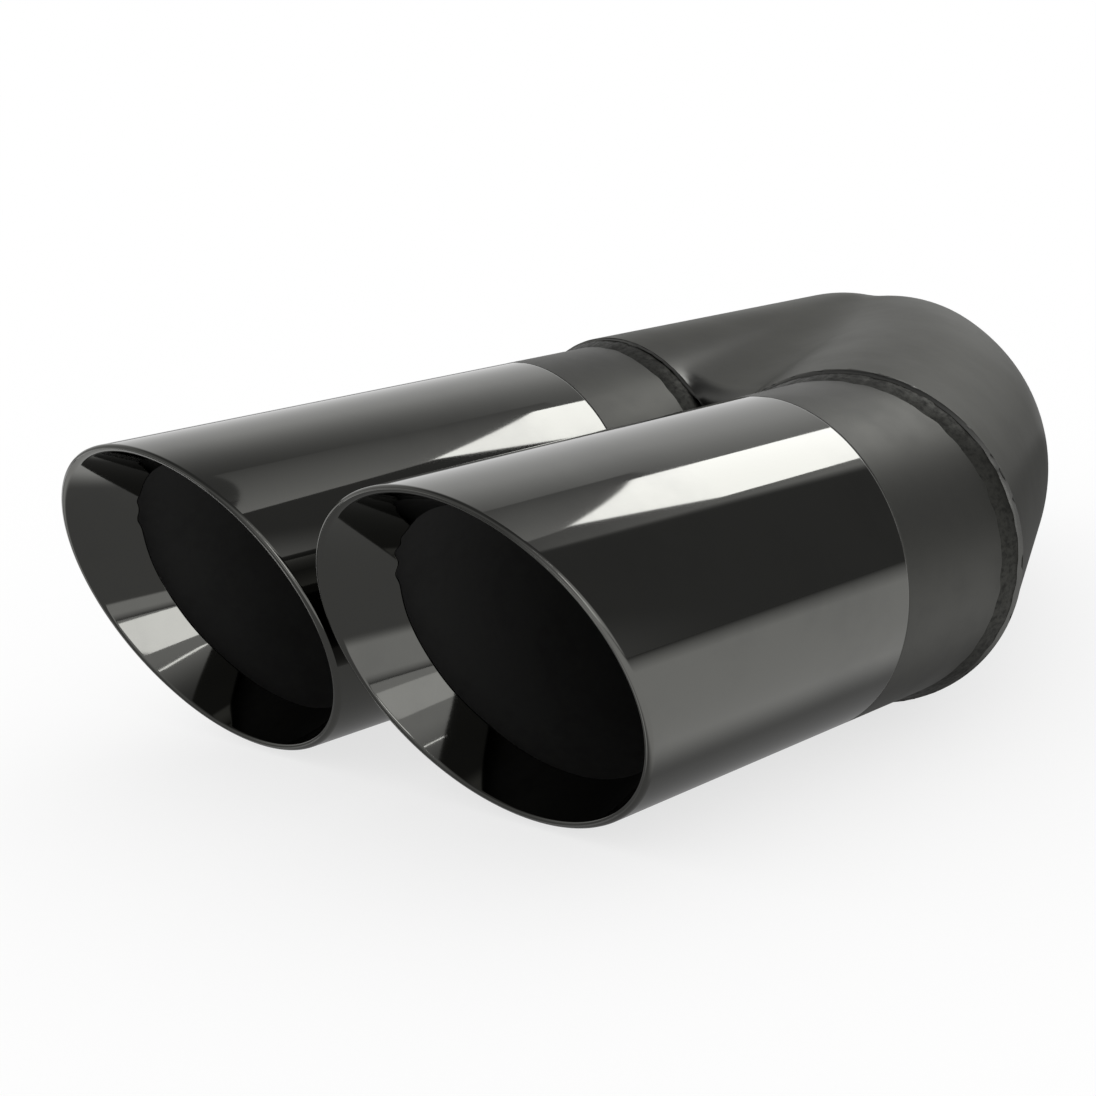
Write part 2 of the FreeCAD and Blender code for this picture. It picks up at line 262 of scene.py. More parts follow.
@dataclass
class Ring:
    """A closed ring of points round a tube, in a plane that may lean."""

    radius: np.ndarray | float  # Radius of the tube that it lies on
    station: float  # Y of its plane on the axis
    lean: Span = LEVEL  # How far the plane's Y moves for a mm along X and along Z
    sharp: bool = False  # Whether the surface breaks here
    skin: int = 0  # Material slot of the band between this ring and the next
    shift: np.ndarray | float = 0.0  # Extra Y at each point

    def points(self, angles: np.ndarray) -> np.ndarray:
        """Give the ring's points about its own axis.

        Args:
            angles: Angle of each point from +X towards +Z, in radians.

        Returns:
            One row of X, Y and Z for each angle.
        """
        across, up = self.radius * np.cos(angles), self.radius * np.sin(angles)
        along = self.station + self.lean[0] * across + self.lean[1] * up + self.shift
        return np.stack([across, along, up], axis=1)

    def towards(self, other: "Ring", share: float) -> "Ring":
        """Give the smooth ring that lies some way along the band from this ring to another.

        Args:
            other: The other ring.
            share: How far along, from 0 to 1.

        Returns:
            The ring between.
        """
        def between(start: float, end: float) -> float:
            """Mix two values."""
            return start + (end - start) * share

        lean = tuple(between(*pair) for pair in zip(self.lean, other.lean))
        return Ring(between(self.radius, other.radius), between(self.station, other.station), lean,
                    False, self.skin, between(self.shift, other.shift))


def turned_corner(radius: float, station: float, bend: float, start: float, end: float, lean: Span,
                  steps: int = 5) -> list[Ring]:
    """Give rings round a bend of a wall's section, between two angles from outwards towards the front."""
    turns = [math.radians(start + (end - start) * step / steps) for step in range(steps + 1)]
    return [Ring(radius + bend * math.cos(turn), station - bend * math.sin(turn), lean) for turn in turns]


@dataclass
class RoundPiece:
    """A piece made of rings round a straight axis."""

    node: str  # Node of the frame
    axis_x: float

    FORM: ClassVar[str]  # What its name says after the node's
    SLOT: ClassVar[Slot]  # Material slot of the record
    SEGMENTS: ClassVar[int] = 288  # Points on each ring
    LONG_BAND: ClassVar[float] = 1.5  # Length from which a band counts as long
    HOLD: ClassVar[float] = 0.2  # Distance from the end of a long band to its added ring

    @property
    def angles(self) -> np.ndarray:
        """Angle of each point of a ring, in radians."""
        return np.arange(self.SEGMENTS) * (2 * math.pi / self.SEGMENTS)

    def rings(self) -> list[Ring]:
        """Give the rings in order round the wall's section. The last joins the first."""
        raise NotImplementedError

    def held_rings(self) -> list[Ring]:
        """Add a ring close to each end of a long band, so that its shading stays straight up to the corner.

        Returns:
            All rings in order.
        """
        rings, result = self.rings(), []
        for ring, following in zip(rings, rings[1:] + rings[:1]):
            result.append(ring)
            length = abs(following.station - ring.station)
            if length > self.LONG_BAND:
                result.append(ring.towards(following, self.HOLD / length))
                result.append(ring.towards(following, 1 - self.HOLD / length))
        return result

    def build(self, finishes: list[Material]) -> Object:
        """Build the piece, smooth apart from its sharp rings.

        Args:
            finishes: Finish outside, and the one inside where the two differ.

        Returns:
            The new object.
        """
        rings = self.held_rings()
        rows = np.concatenate([ring.points(self.angles) + (self.axis_x, 0, 0) for ring in rings])
        count, around = len(rings), self.SEGMENTS
        faces, skins, broken = [], [], set()
        for index, ring in enumerate(rings):
            here, there = index * around, (index + 1) % count * around
            for step in range(around):
                following = (step + 1) % around
                faces.append((here + step, here + following, there + following, there + step))
                skins.append(ring.skin)
                if ring.sharp:
                    broken.add(frozenset((here + step, here + following)))
        name = f"{self.node}_{self.FORM}"
        mesh = bpy.data.meshes.new(name)
        mesh.from_pydata(scene_rows(rows).tolist(), [], faces)
        mesh.polygons.foreach_set("material_index", skins)
        mesh.polygons.foreach_set("use_smooth", [True] * len(faces))
        for edge in mesh.edges:
            edge.use_edge_sharp = frozenset(edge.vertices) in broken
        mesh.update()
        return publish(name, mesh, finishes, self.node)


@dataclass
class TipSleeve(RoundPiece):
    """Slash-cut tip, its mouth edge folded back inside as a lip."""

    back: float
    length: float
    nicks: tuple[Span, ...]  # Angle and depth of each nick in the fold's ragged back edge
    radius: float = 38.0
    sheet: float = 1.0
    fold: float = 1.5
    lip_depth: float = 14.0
    lip_lean: float = 21.5  # Angle by which the lip narrows
    lean: Span = (0.1949, -0.3548)  # Lean of the mouth
    mouth_round: float = 0.95  # Radius of the mouth's edges
    edge_break: float = 0.12
    crease: float = 1.6  # How deep behind the mouth the gap inside the fold starts
    nick_width: float = 3.2  # Angle from a nick's middle to where it has lost most of its depth
    nick_reach: float = 2.4  # How far before the lip's back edge the nicks start to bend it
    # Height, count round the tube and phase of each wave in the fold's back edge
    ripples: tuple[Point, ...] = ((0.1, 5, 0.6), (0.05, 11, 2.0))

    FORM = "sleeve"
    SLOT = Slot.TIP

    def fold_edge(self) -> np.ndarray:
        """Work out how far the fold's back edge strays along the tube.

        Returns:
            Its shift at each point of a ring.
        """
        stray = sum(height * np.sin(count * self.angles + phase) for height, count, phase in self.ripples)
        for where, depth in self.nicks:
            off = (np.degrees(self.angles) - where + 180) % 360 - 180
            stray -= depth * np.exp(-(off / self.nick_width) ** 2)
        return stray

    def rings(self) -> list[Ring]:
        """Give the wall's section from the back edge, out to the mouth and back inside.

        Returns:
            The rings in order.
        """
        lean = math.radians(self.lip_lean)
        outer, inner, bore = self.radius, self.radius - self.fold, self.radius - self.sheet
        mouth, bend = self.back - self.length, self.mouth_round
        edge, ragged, soft = mouth + self.lip_depth, self.fold_edge(), self.edge_break
        lip_back = inner - self.lip_depth * math.tan(lean)
        lip_skin = self.sheet / math.cos(lean)
        turn_in = inner + bend * (1 - math.sin(lean)) / math.cos(lean)
        return [
            Ring(outer - soft, self.back, LEVEL, True),
            Ring(outer, self.back - soft),
            *turned_corner(outer - bend, mouth + bend, bend, 0, 90, self.lean),
            *turned_corner(turn_in, mouth + bend, bend, 90, 180 - self.lip_lean, self.lean),
            Ring(lip_back + self.nick_reach * math.tan(lean), edge - self.nick_reach, self.lean),
            Ring(lip_back + (soft - ragged) * math.tan(lean), edge - soft, self.lean, False, 0, ragged),
            Ring(lip_back + soft - ragged * math.tan(lean), edge, self.lean, True, 1, ragged),
            Ring(lip_back + lip_skin - ragged * math.tan(lean), edge, self.lean, True, 1, ragged),
            Ring(bore - soft, mouth + self.crease, self.lean, True, 1),
            Ring(bore, mouth + self.crease, self.lean, True, 1),
            Ring(bore, self.back, LEVEL, True, 1),
        ]


@dataclass
class Collar(RoundPiece):
    """Satin tube between a tip and the body, with a spigot inside the tip."""

    front: float  # Y where it meets the tip
    back: float  # Y of its back end on the axis
    lean: Span  # Lean of its back end
    radius: float = 38.0
    spigot_radius: float = 36.9
    wall: float = 1.5
    spigot_depth: float = 12.0
    joggle: float = 2.5  # Length over which the bore narrows to the spigot's
    edge_break: float = 0.12

    FORM = "tube"
    SLOT = Slot.COLLAR

    def rings(self) -> list[Ring]:
        """Give the wall's section from the back end, out to the spigot and back inside.

        Returns:
            The rings in order.
        """
        outer, inner, soft = self.radius, self.radius - self.wall, self.edge_break
        spigot, spigot_bore = self.spigot_radius, self.spigot_radius - self.wall
        tail = self.front - self.spigot_depth
        return [
            Ring(outer, self.back, self.lean, True),
            Ring(outer, self.front + soft),
            Ring(outer - soft, self.front, LEVEL, True),
            Ring(spigot, self.front, LEVEL, True),
            Ring(spigot, tail, LEVEL, True),
            Ring(spigot_bore, tail, LEVEL, True, 1),
            Ring(spigot_bore, self.front, LEVEL, False, 1),
            Ring(inner, self.front + self.joggle, LEVEL, False, 1),
            Ring(inner, self.back, self.lean, True),
        ]


@dataclass
class WeldBead(RoundPiece):
    """Rippled bead laid in the corner between a collar and the rim of its leg."""

    rim: float
    lean: Span  # Lean of the rim
    seed: int  # Start of its random run
    width: float = 4.6
    root_radius: float = 38.0
    crown_radius: float = 39.1  # Radius at the rim
    ripple_pitch: float = 1.9
    ripple_height: float = 0.1
    wander: float = 0.35  # How far its toe strays along the collar
    crown_wander: float = 0.12  # How far its crown sinks on average, and strays about that
    phase_wander: float = 3.0  # How far the ripples stray round the tube, in radians of their wave
    bow: float = 1.8  # How far each ripple bows back in its middle, in radians of its wave
    strength: Span = (0.6, 0.4)  # Mean strength of the ripples, and how far it strays
    steps: int = 10

    FORM = "bead"
    SLOT = Slot.WELD
    SEGMENTS = 960

    def drift(self, chance: np.random.Generator, *orders: int) -> np.ndarray:
        """Give a random closed curve, between about -1 and 1, made of a few waves.

        Args:
            chance: Source of chance.
            orders: Number of waves round the tube, for each wave.

        Returns:
            Its value at each angle.
        """
        waves = [chance.uniform(0.4, 1.0) * np.sin(order * self.angles + chance.uniform(0, 2 * math.pi))
                 for order in orders]
        return sum(waves) / math.sqrt(len(orders))

    def rings(self) -> list[Ring]:
        """Give the section from the crown at the rim down to the toe on the collar, and back along the collar.

        Returns:
            The rings in order.
        """
        chance = np.random.default_rng(self.seed)
        ripples = round(2 * math.pi * self.root_radius / self.ripple_pitch)
        phase = ripples * self.angles + self.phase_wander * self.drift(chance, 2, 5, 9, 14, 23)
        mean, swing = self.strength
        strength = mean + swing * self.drift(chance, 3, 7, 11, 19)
        toe = self.wander * self.drift(chance, 3, 8, 17, 29, 41)
        crown = self.crown_wander * self.drift(chance, 4, 13, 31, 47) - self.crown_wander
        rings = []
        for step in range(self.steps + 1):
            part = 1 - step / self.steps
            swell = math.sin(math.pi * part)
            crest = np.cos(phase + self.bow * swell) * strength * swell
            rise = self.crown_radius - self.root_radius + crown * (part > 0)
            radius = self.root_radius + rise * math.sin(part * math.pi / 2) + self.ripple_height * crest * 0.5
            rings.append(Ring(radius, self.rim - self.width * (1 - part), self.lean, part in (0.0, 1.0),
                              0, toe * (1 - part) + self.ripple_height * crest))
        return rings + [Ring(self.root_radius, self.rim, self.lean, True)]


@dataclass
class Offset:
    """How far rows of points lie outside a body."""

    length: np.ndarray  # Distance of each point, below 0 inside
    way: np.ndarray  # Direction that it is measured in, one row for each point or one for all

    @classmethod
    def from_core(cls, points: np.ndarray, core: np.ndarray, radius: np.ndarray | float) -> "Offset":
        """Measure points from the surface of a tube or ball.

        Args:
            points: Rows of X, Y and Z.
            core: Nearest point to each on the tube's axis, or the ball's middle.
            radius: Radius there.

        Returns:
            Their offset.
        """
        away = points - core
        length = np.linalg.norm(away, axis=1) + TINY
        return cls(length - radius, away / length[:, None])

    def where(self, chosen: np.ndarray, other: "Offset") -> "Offset":
        """Keep this offset at the chosen points, and take the other elsewhere."""
        length = np.where(chosen, self.length, other.length)
        return Offset(length, np.where(chosen[:, None], self.way, other.way))

    def joined(self, other: "Offset") -> "Offset":
        """Measure from two bodies as one: the nearer surface counts."""
        return self.where(self.length < other.length, other)

    def shared(self, other: "Offset") -> "Offset":
        """Measure from what two bodies share: the farther surface counts."""
        return self.where(self.length > other.length, other)


@dataclass
class YBody:
    """Formed sheet body, found as the surface where its points have no offset.

    Points are rows of X, Y and Z.
    """

    pitch: float = 78.4
    leg_radius: float = 39.75
    wall: float = 1.6
    left_rim: float = 28.4
    left_dome: float = 117.3  # Y of the centre of the left leg's domed end
    right_rim: float = 26.8
    splay: float = 29.6  # Angle of the right leg's run, from +Y towards -X
    run: float = 56.4
    bend_radius: float = 168.7
    bend_turn: float = 18.9
    taper: float = 36.0
    inlet_depth: float = 24.0
    inlet_radius: float = 30.3
    # Radius of the ball that rolls along both legs at once and sweeps the blend between them
    ball: float = 30.0
    ball_step: float = 0.5
    halvings: int = 24  # How often the search for each point of the ball's path is halved
    step_back: float = 1.0  # How far the web's front stands behind the rims
    web_edge: float = 4.0  # Radius of the web's front edge
    rim_lead: float = 1.2  # How far the left leg is sampled past its rim, to be cut off
    rim_round: float = 0.5
    cell: float = 1.8  # Size of the cells that the surface is sampled in
    lead: float = 200.0  # How far the right leg is thought to go on in front of its rim
    clearance: float = 6.0  # Room round the body in the sampled box, and how deep in a leg the blend is sought
    batch: int = 4000  # Number of points that are measured from the path at a time
    easing: float = 0.6  # How far each vertex goes towards the mean of those round it
    snap: float = 1e-4  # Distance from a cut within which a vertex is taken to lie in it
    beyond: float = 1e-5  # Distance past a cut from which a face is deleted
    on_rim: float = 1e-3  # Distance from a cut within which a vertex belongs to its rim
    crease: float = 50.0
    path: np.ndarray | None = None

    def heading(self, degrees: float) -> np.ndarray:
        """Give the direction of travel that is turned so far from +Y towards -X."""
        return np.array([-math.sin(math.radians(degrees)), math.cos(math.radians(degrees)), 0.0])

    def run_start(self) -> np.ndarray:
        """Give the middle of the right leg's rim."""
        return np.array([0.0, self.right_rim, 0.0])

    def bend_arm(self, degrees: float) -> np.ndarray:
        """Give the way from the bend's centre to the bend's axis where it heads so far from +Y."""
        turn = math.radians(degrees)
        return self.bend_radius * np.array([math.cos(turn), math.sin(turn), 0.0])

    def bend_centre(self) -> np.ndarray:
        """Give the centre of the right leg's bend."""
        return self.run_start() + self.run * self.heading(self.splay) - self.bend_arm(self.splay)

    def onward(self) -> np.ndarray:
        """Give the direction of the taper and the inlet socket."""
        return self.heading(self.splay + self.bend_turn)

    def junction(self) -> np.ndarray:
        """Give the point where the bend ends and the taper starts."""
        return self.bend_centre() + self.bend_arm(self.splay + self.bend_turn)

    def inlet_end(self) -> np.ndarray:
        """Give the middle of the inlet socket's end."""
        return self.junction() + (self.taper + self.inlet_depth) * self.onward()

    def left_leg(self, points: np.ndarray) -> Offset:
        """Measure how far points are outside the left leg and its dome.

        Args:
            points: The points.

        Returns:
            Their offset.
        """
        core = np.zeros_like(points)
        core[:, 0] = -self.pitch
        core[:, 1] = np.minimum(points[:, 1], self.left_dome)
        return Offset.from_core(points, core, self.leg_radius)

    def right_leg(self, points: np.ndarray) -> Offset:
        """Measure how far points are outside the right leg, its taper and the inlet socket.

        Args:
            points: The points.

        Returns:
            Their offset.
        """
        ahead, start = self.heading(self.splay), self.run_start()
        along = np.clip((points - start) @ ahead, -self.lead, self.run)
        straight = start + along[:, None] * ahead

        centre = self.bend_centre()
        turn = np.arctan2(points[:, 1] - centre[1], points[:, 0] - centre[0])
        turn = np.clip(turn, math.radians(self.splay), math.radians(self.splay + self.bend_turn))
        bend = centre + self.bend_radius * np.stack([np.cos(turn), np.sin(turn), np.zeros_like(turn)], axis=1)

        reach = np.maximum((points - self.junction()) @ self.onward(), 0.0)
        tail = self.junction() + reach[:, None] * self.onward()
        narrow = (self.leg_radius - self.inlet_radius) * np.clip(reach / self.taper, 0.0, 1.0)

        best = Offset.from_core(points, straight, self.leg_radius)
        best = Offset.from_core(points, bend, self.leg_radius).joined(best)
        return Offset.from_core(points, tail, self.leg_radius - narrow).joined(best)

    def ball_path(self) -> np.ndarray:
        """Trace the centre of the ball as it rolls along both legs at once.

        Returns:
            Points close together on its path.
        """
        reach = self.leg_radius + self.ball
        pole = self.left_dome + reach * math.pi / 2
        middle = self.left_dome / 2

        def spot(along: np.ndarray, turn: np.ndarray) -> np.ndarray:
            """Place the ball's centre so that the ball touches the left leg.

            Args:
                along: Station along the leg and on over its dome.
                turn: Turn about the leg, in radians.

            Returns:
                The centres.
            """
            over = np.clip((along - self.left_dome) / reach, 0.0, math.pi / 2)
            radial = reach * np.cos(over)
            return np.stack([-self.pitch + radial * np.cos(turn),
                             np.minimum(along, self.left_dome) + reach * np.sin(over),
                             radial * np.sin(turn)], axis=1)

        def side(place: np.ndarray) -> np.ndarray:
            """Tell whether the ball there stands off the right leg or bites into it, as 1 or -1."""
            return np.sign(self.right_leg(spot(*place)).length - self.ball)

        stations = np.arange(-self.lead / 2, pole, self.ball_step)
        turns = np.arange(0.0, math.pi, self.ball_step / reach)
        along_ring, along_tube = np.zeros_like(stations), np.zeros_like(turns)
        searches = (
            (stations, along_ring, stations, along_ring + math.pi),
            (along_tube - self.lead / 2, turns, along_tube + middle, turns),
            (along_tube + middle, turns, along_tube + pole, turns),
        )
        path = []
        for low_along, low_turn, high_along, high_turn in searches:
            low, high = np.stack([low_along, low_turn]), np.stack([high_along, high_turn])
            sign = side(low)
            crossed = sign * side(high) < 0
            low, high, sign = low[:, crossed], high[:, crossed], sign[crossed]
            for _ in range(self.halvings):
                half = (low + high) / 2
                same = side(half) == sign
                low, high = np.where(same, half, low), np.where(same, high, half)
            path.append(spot(*low))
        upper = np.concatenate(path)
        return np.concatenate([upper, upper * (1, 1, -1)])

    def blended(self, points: np.ndarray) -> Offset:
        """Measure how far points are outside the two legs with the ball's hollow between them.

        Args:
            points: The points.

        Returns:
            Their offset.
        """
        left, right = self.left_leg(points), self.right_leg(points)
        best = left.joined(right)
        near = (left.length < self.ball) & (right.length < self.ball) & (best.length > -self.clearance)
        lifted_left = points + (self.ball - left.length)[:, None] * left.way
        lifted_right = points + (self.ball - right.length)[:, None] * right.way
        near[near] = self.right_leg(lifted_left[near]).length < self.ball
        near[near] = self.left_leg(lifted_right[near]).length < self.ball
        for rows in np.array_split(np.flatnonzero(near), 1 + int(near.sum()) // self.batch):
            chosen = points[rows]
            squares = np.sum(self.path ** 2, axis=1)[None, :] - 2 * chosen @ self.path.T
            arm = self.path[np.argmin(squares, axis=1)] - chosen
            length = np.linalg.norm(arm, axis=1)
            best.length[rows] = self.ball - length
            best.way[rows] = arm / length[:, None]
        return best

    def outside(self, points: np.ndarray) -> Offset:
        """Measure how far points are outside the body, before its rims are cut.

        Args:
            points: The points.

        Returns:
            Their offset.
        """
        before = Offset(self.left_rim - self.rim_lead - points[:, 1], np.array([0.0, -1.0, 0.0]))
        legs = self.left_leg(points).shared(before).joined(self.right_leg(points))
        ahead = np.array([self.right_rim - self.left_rim, -self.pitch, 0.0])
        ahead /= np.linalg.norm(ahead)
        front = Offset((points - (0.0, self.right_rim + self.step_back, 0.0)) @ ahead, ahead)
        web, edge = self.blended(points), self.web_edge
        corner = np.stack([web.length + edge, front.length + edge])
        length = np.linalg.norm(corner, axis=0)
        around = (corner[0][:, None] * web.way + corner[1][:, None] * ahead) / np.maximum(length, TINY)[:, None]
        turned = Offset(length - edge, around)
        return legs.joined(turned.where((corner > 0).all(axis=0), web.shared(front)))

    def settle(self, points: np.ndarray, rounds: int = 3) -> np.ndarray:
        """Draw points on to the surface.

        Args:
            points: Points near the surface.
            rounds: How many steps to take.

        Returns:
            The points on the surface.
        """
        for _ in range(rounds):
            offset = self.outside(points)
            points = points - np.clip(offset.length, -self.cell, self.cell)[:, None] * offset.way
        return points

    def sample(self, cell: float) -> tuple[np.ndarray, np.ndarray]:
        """Find the surface with one vertex in each cell that it crosses.

        Args:
            cell: Size of a cell.

        Returns:
            The vertices, and the faces as four vertex numbers each.
        """
        end = self.inlet_end()
        reach = self.leg_radius + self.clearance
        low = np.array([min(-self.pitch, end[0]) - reach, self.right_rim / 2, -reach])
        high = np.array([reach, end[1] + reach, reach])
        counts = np.ceil((high - low) / cell).astype(int) + 1
        axes = [low[axis] + cell * np.arange(counts[axis]) for axis in range(3)]
        grid = np.stack(np.meshgrid(*axes, indexing="ij"), axis=-1)
        values = self.outside(grid.reshape(-1, 3)).length.reshape(counts)

        cells = tuple(counts - 1)
        total, hits = np.zeros(cells + (3,)), np.zeros(cells)
        number = np.arange(np.prod(cells)).reshape(cells)
        quads = []
        for axis in range(3):
            first, second, inner = ([slice(None)] * 3 for _ in range(3))
            first[axis], second[axis] = slice(None, -1), slice(1, None)
            before, after = values[tuple(first)], values[tuple(second)]
            crossed = (before < 0) != (after < 0)
            spot = grid[tuple(first)].copy()
            spot[..., axis] += np.where(crossed, before / np.where(crossed, before - after, 1.0), 0.0) * cell
            others = [other for other in range(3) if other != axis]
            for shifts in ((0, 0), (0, 1), (1, 0), (1, 1)):
                window = [slice(None)] * 3
                for other, shift in zip(others, shifts):
                    window[other] = slice(shift, counts[other] - 1 + shift)
                marked = crossed[tuple(window)]
                total += np.where(marked[..., None], spot[tuple(window)], 0.0)
                hits += marked
            for other in others:
                inner[other] = slice(1, -1)
            where = np.argwhere(crossed[tuple(inner)])
            corners = []
            for shifts in ((0, 0), (1, 0), (1, 1), (0, 1)):
                place = where.copy()
                place[:, others] += shifts
                corners.append(number[tuple(place.T)])
            faces = np.stack(corners, axis=1)
            outward = before[tuple(inner)][tuple(where.T)] < 0
            flip = outward if axis == 1 else ~outward
            faces[flip] = faces[flip][:, ::-1]
            quads.append(faces)
        used, faces = np.unique(np.concatenate(quads), return_inverse=True)
        vertices = total.reshape(-1, 3)[used] / np.maximum(hits.reshape(-1)[used], 1)[:, None]
        return vertices, faces.reshape(-1, 4)

    def relax(self, vertices: np.ndarray, faces: np.ndarray, rounds: int = 3) -> np.ndarray:
        """Even out the vertices along the surface.

        Args:
            vertices: The vertices.
            faces: Faces as four vertex numbers each.
            rounds: How many times to do it.

        Returns:
            The vertices, on the surface.
        """
        ends = np.concatenate([faces[:, [side, (side + 1) % 4]] for side in range(4)])
        ends = np.concatenate([ends, ends[:, ::-1]])
        count = np.bincount(ends[:, 0], minlength=len(vertices))
        for _ in range(rounds):
            mean = np.stack([np.bincount(ends[:, 0], vertices[ends[:, 1], axis], len(vertices))
                             for axis in range(3)], axis=1) / count[:, None]
            vertices = self.settle(vertices + self.easing * (mean - vertices), 2)
        return vertices

    def cuts(self) -> list[tuple[np.ndarray, np.ndarray]]:
        """Give a point of the left rim, the mitred right rim and the inlet's end, and the way each faces."""
        return [
            (np.array([-self.pitch, self.left_rim, 0.0]), np.array([0.0, -1.0, 0.0])),
            (self.run_start(), -self.heading(self.splay / 2)),
            (self.inlet_end(), self.onward()),
        ]

    def on_left(self, face: bmesh.types.BMFace) -> bool:
        """Tell whether a face lies on the left leg's rim rather than on the right leg.

        Args:
            face: The face.

        Returns:
            Whether the left rim's cut may take it.
        """
        middle = np.array([face.calc_center_median()])
        station = middle[0, 1]
        if station >= self.left_rim + self.step_back:
            return False
        left = self.left_leg(middle).length[0]
        inside = station < self.left_rim - self.rim_lead / 2 and left < 0
        return inside or abs(left) < abs(self.right_leg(middle).length[0])

    def trim(self, shell: bmesh.types.BMesh) -> None:
        """Cut the shell off at its rims. The left rim's plane cuts the left leg alone.

        Args:
            shell: The body's skin, with its legs too long.
        """
        for order, (point, away) in enumerate(self.cuts()):
            faces = [face for face in shell.faces if order > 0 or self.on_left(face)]
            parts = {part for face in faces for part in (face, *face.edges, *face.verts)}
            bmesh.ops.bisect_plane(shell, geom=list(parts), dist=self.snap, plane_co=point, plane_no=away)
            past = [face for face in shell.faces
                    if (np.array(face.calc_center_median()) - point) @ away > self.beyond
                    and (order > 0 or self.on_left(face))]
            bmesh.ops.delete(shell, geom=past, context="FACES")

    def thicken(self, shell: bmesh.types.BMesh) -> None:
        """Give the shell its wall, inwards, and take the outer edge off its rims.

        Args:
            shell: The body's skin, cut at its rims.
        """
        shell.normal_update()
        shell.verts.index_update()
        inner = [shell.verts.new(vertex.co - self.wall * vertex.normal) for vertex in list(shell.verts)]
        faces = [[vertex.index for vertex in face.verts] for face in shell.faces]
        rims = [(edge.link_loops[0].vert, edge.link_loops[0].link_loop_next.vert)
                for edge in shell.edges if len(edge.link_loops) == 1]
        for corners in faces:
            shell.faces.new([inner[corner] for corner in reversed(corners)]).material_index = 1
        lips = {}
        for vertex in dict.fromkeys(vertex for edge in rims for vertex in edge):
            lips[vertex] = shell.verts.new(vertex.co - self.rim_round * vertex.normal)
            for point, away in self.cuts():
                if abs((np.array(vertex.co) - point) @ away) < self.on_rim:
                    vertex.co -= Vector(away) * self.rim_round
        for start, end in rims:
            shell.faces.new([end, start, lips[start], lips[end]])
            shell.faces.new([lips[end], lips[start], inner[start.index], inner[end.index]])

    def build(self, finishes: list[Material]) -> Object:
        """Build the body.

        Args:
            finishes: Finish outside and inside.

        Returns:
            The body.
        """
        self.path = self.ball_path()
        vertices, faces = self.sample(self.cell * (1))
        vertices = self.relax(self.settle(vertices), faces)
        mesh = bpy.data.meshes.new("y_body_shell")
        mesh.from_pydata(vertices.tolist(), [], faces.tolist())
        shell = bmesh.new()
        shell.from_mesh(mesh)
        self.trim(shell)
        self.thicken(shell)
        for vertex in shell.verts:
            vertex.co = scene_point(tuple(vertex.co))
        shell.to_mesh(mesh)
        shell.free()
        mesh.polygons.foreach_set("use_smooth", [True] * len(mesh.polygons))
        mesh.set_sharp_from_angle(angle=math.radians(self.crease))
        mesh.update()
        return publish("y_body_shell", mesh, finishes, "y_body")


@dataclass
class YPipe:
    """The whole y-pipe, set out from its body."""

    body: YBody
    left_seam: float = -2.0  # Y where the left tip meets its collar
    right_seam: float = 0.0  # The same on the right
    left_lap: float = 8.0  # How far the left collar reaches into its leg
    left_length: float = 98.1
    right_length: float = 84.5

    def build(self) -> None:
        """Build every piece, from the mouths back to the inlet."""
        bore = OXIDE_BORE.build()
        tip, collar, skin = [[finish.build(), bore] for finish in (BLACK_CHROME, SATIN_COLLAR, SATIN_BODY)]
        weld = [WELD_BEAD_AND_PAINTED_SHADE.build()]
        left, right = -self.body.pitch, 0.0
        left_rim, right_rim = self.body.left_rim, self.body.right_rim
        mitre = (math.tan(math.radians(self.body.splay / 2)), 0.0)
        left_nicks = ((143.0, 0.4), (154.0, 0.6))
        right_nicks = ((138.0, 0.4), (147.0, 0.9), (158.0, 0.7))
        TipSleeve("left_tip", left, self.left_seam, self.left_length, left_nicks).build(tip)
        TipSleeve("right_tip", right, self.right_seam, self.right_length, right_nicks).build(tip)
        Collar("left_collar", left, self.left_seam, left_rim + self.left_lap, LEVEL).build(collar)
        Collar("right_collar", right, self.right_seam, right_rim, mitre).build(collar)
        WeldBead("left_weld", left, left_rim, LEVEL, seed=11).build(weld)
        WeldBead("right_weld", right, right_rim, mitre, seed=23).build(weld)
        self.body.build(skin)


def stage_sheet(name: str, corners: tuple[Point, ...], material: Material) -> Object:
    """Put a flat sheet of the studio in the scene.

    Args:
        name: Name of the sheet.
        corners: Its corners.
        material: Its material.

    Returns:
        The new object.
    """
    mesh = bpy.data.meshes.new(name)
    mesh.from_pydata([tuple(scene_point(corner)) for corner in corners], [], [tuple(range(len(corners)))])
    mesh.materials.append(material)
    sheet = bpy.data.objects.new(name, mesh)
    bpy.context.collection.objects.link(sheet)
    return sheet


@dataclass(frozen=True)
class Panel:
    """A lit panel that only mirrors and sheens see."""

    name: str
    light: float  # Its radiance, where 1 is white
    corners: tuple[Point, ...]
    fade: Point | None = None  # X of its dim and of its bright side, and its radiance at the dim one

    def build(self) -> None:
        """Hang the panel."""
        material = bpy.data.materials.new(f"{self.name}_light")
        graph = Graph(material)
        strength = self.light
        if self.fade:
            place = graph.add("ShaderNodeTexCoord").outputs["Object"]
            across = graph.add("ShaderNodeSeparateXYZ", {0: place}).outputs[0]
            dim, bright = (scene_point((x, 0, 0)).x for x in self.fade[:2])
            strength = graph.ramp(across, dim, bright, self.fade[2], self.light, "LINEAR")
        graph.add("ShaderNodeOutputMaterial", {"Surface": graph.white(strength)})
        sheet = stage_sheet(self.name, self.corners, material)
        sheet.visible_camera = False
        sheet.visible_diffuse = False
        sheet.visible_shadow = False
        log.info("%s: radiance %.2f", self.name, self.light)


